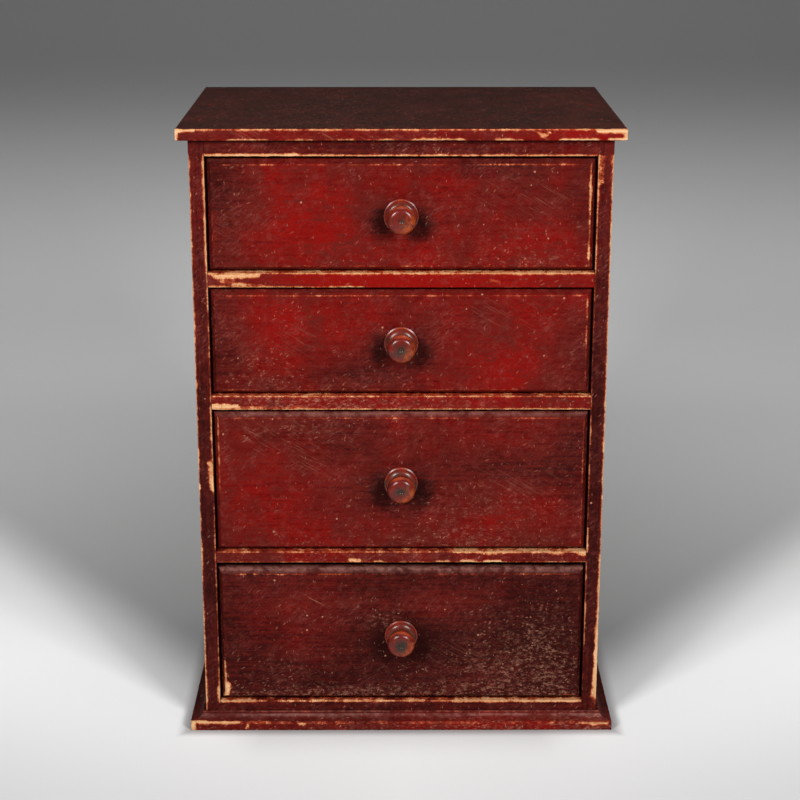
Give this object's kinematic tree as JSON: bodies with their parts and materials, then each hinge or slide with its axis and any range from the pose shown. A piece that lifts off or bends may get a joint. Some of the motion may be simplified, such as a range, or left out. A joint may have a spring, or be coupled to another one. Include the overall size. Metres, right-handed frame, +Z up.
{
  "type": "miniature chest of drawers",
  "caption": "Upright miniature chest with full-width sliding drawers, turned knobs, an overhanging top board and a mitred base moulding, in worn dark red lacquer.",
  "frame": {"origin": "on the surface that the chest stands on, under the middle of its overall width and overall depth, knobs counted", "axes": "+Z up the height of the chest, +X to the right as seen from the front, -Y out of the drawer fronts"},
  "size_m": [0.3006, 0.2224, 0.43],
  "materials": {
    "red_lacquer": "dark red stained softwood under worn gloss varnish",
    "top_lacquer": "brown-black stained softwood under worn gloss varnish",
    "knob_lacquer": "turned wood under red-brown gloss varnish",
    "bare_pine": "bare aged pine, planed",
    "nail_iron": "dark dull iron"
  },
  "bodies": {
    "carcass": {"top_board": "top_lacquer", "side_left": "red_lacquer", "side_right": "red_lacquer", "top_rail": "red_lacquer", "divider_rail_1": "red_lacquer", "divider_rail_2": "red_lacquer", "divider_rail_3": "red_lacquer", "bottom_rail": "red_lacquer", "bottom_board": "bare_pine", "back_board_lower": "bare_pine", "back_board_middle": "bare_pine", "back_board_upper": "bare_pine", "base_moulding_front": "red_lacquer", "base_moulding_left": "red_lacquer", "base_moulding_right": "red_lacquer", "drawer_stop_1": "bare_pine", "drawer_stop_2": "bare_pine", "drawer_stop_3": "bare_pine", "drawer_stop_4": "bare_pine", "kicker_left": "bare_pine", "kicker_right": "bare_pine", "runner_left_1": "bare_pine", "runner_left_2": "bare_pine", "runner_left_3": "bare_pine", "runner_right_1": "bare_pine", "runner_right_2": "bare_pine", "runner_right_3": "bare_pine", "top_nail_1": "nail_iron", "top_nail_2": "nail_iron", "top_nail_3": "nail_iron", "top_nail_4": "nail_iron", "top_nail_5": "nail_iron", "top_nail_6": "nail_iron"},
    "drawer_1": {"drawer_1_front": "red_lacquer", "drawer_1_side_left": "bare_pine", "drawer_1_side_right": "bare_pine", "drawer_1_back": "bare_pine", "drawer_1_bottom": "bare_pine", "drawer_1_knob": "knob_lacquer"},
    "drawer_2": {"drawer_2_front": "red_lacquer", "drawer_2_side_left": "bare_pine", "drawer_2_side_right": "bare_pine", "drawer_2_back": "bare_pine", "drawer_2_bottom": "bare_pine", "drawer_2_knob": "knob_lacquer"},
    "drawer_3": {"drawer_3_front": "red_lacquer", "drawer_3_side_left": "bare_pine", "drawer_3_side_right": "bare_pine", "drawer_3_back": "bare_pine", "drawer_3_bottom": "bare_pine", "drawer_3_knob": "knob_lacquer"},
    "drawer_4": {"drawer_4_front": "red_lacquer", "drawer_4_side_left": "bare_pine", "drawer_4_side_right": "bare_pine", "drawer_4_back": "bare_pine", "drawer_4_bottom": "bare_pine", "drawer_4_knob": "knob_lacquer"}
  },
  "joints": [
    {"name": "drawer_1_slide", "type": "slide", "parent": "carcass", "child": "drawer_1", "axis": [0, -1, 0], "range_m": [0, 0.15]},
    {"name": "drawer_2_slide", "type": "slide", "parent": "carcass", "child": "drawer_2", "axis": [0, -1, 0], "range_m": [0, 0.15]},
    {"name": "drawer_3_slide", "type": "slide", "parent": "carcass", "child": "drawer_3", "axis": [0, -1, 0], "range_m": [0, 0.15]},
    {"name": "drawer_4_slide", "type": "slide", "parent": "carcass", "child": "drawer_4", "axis": [0, -1, 0], "range_m": [0, 0.15]}
  ]
}
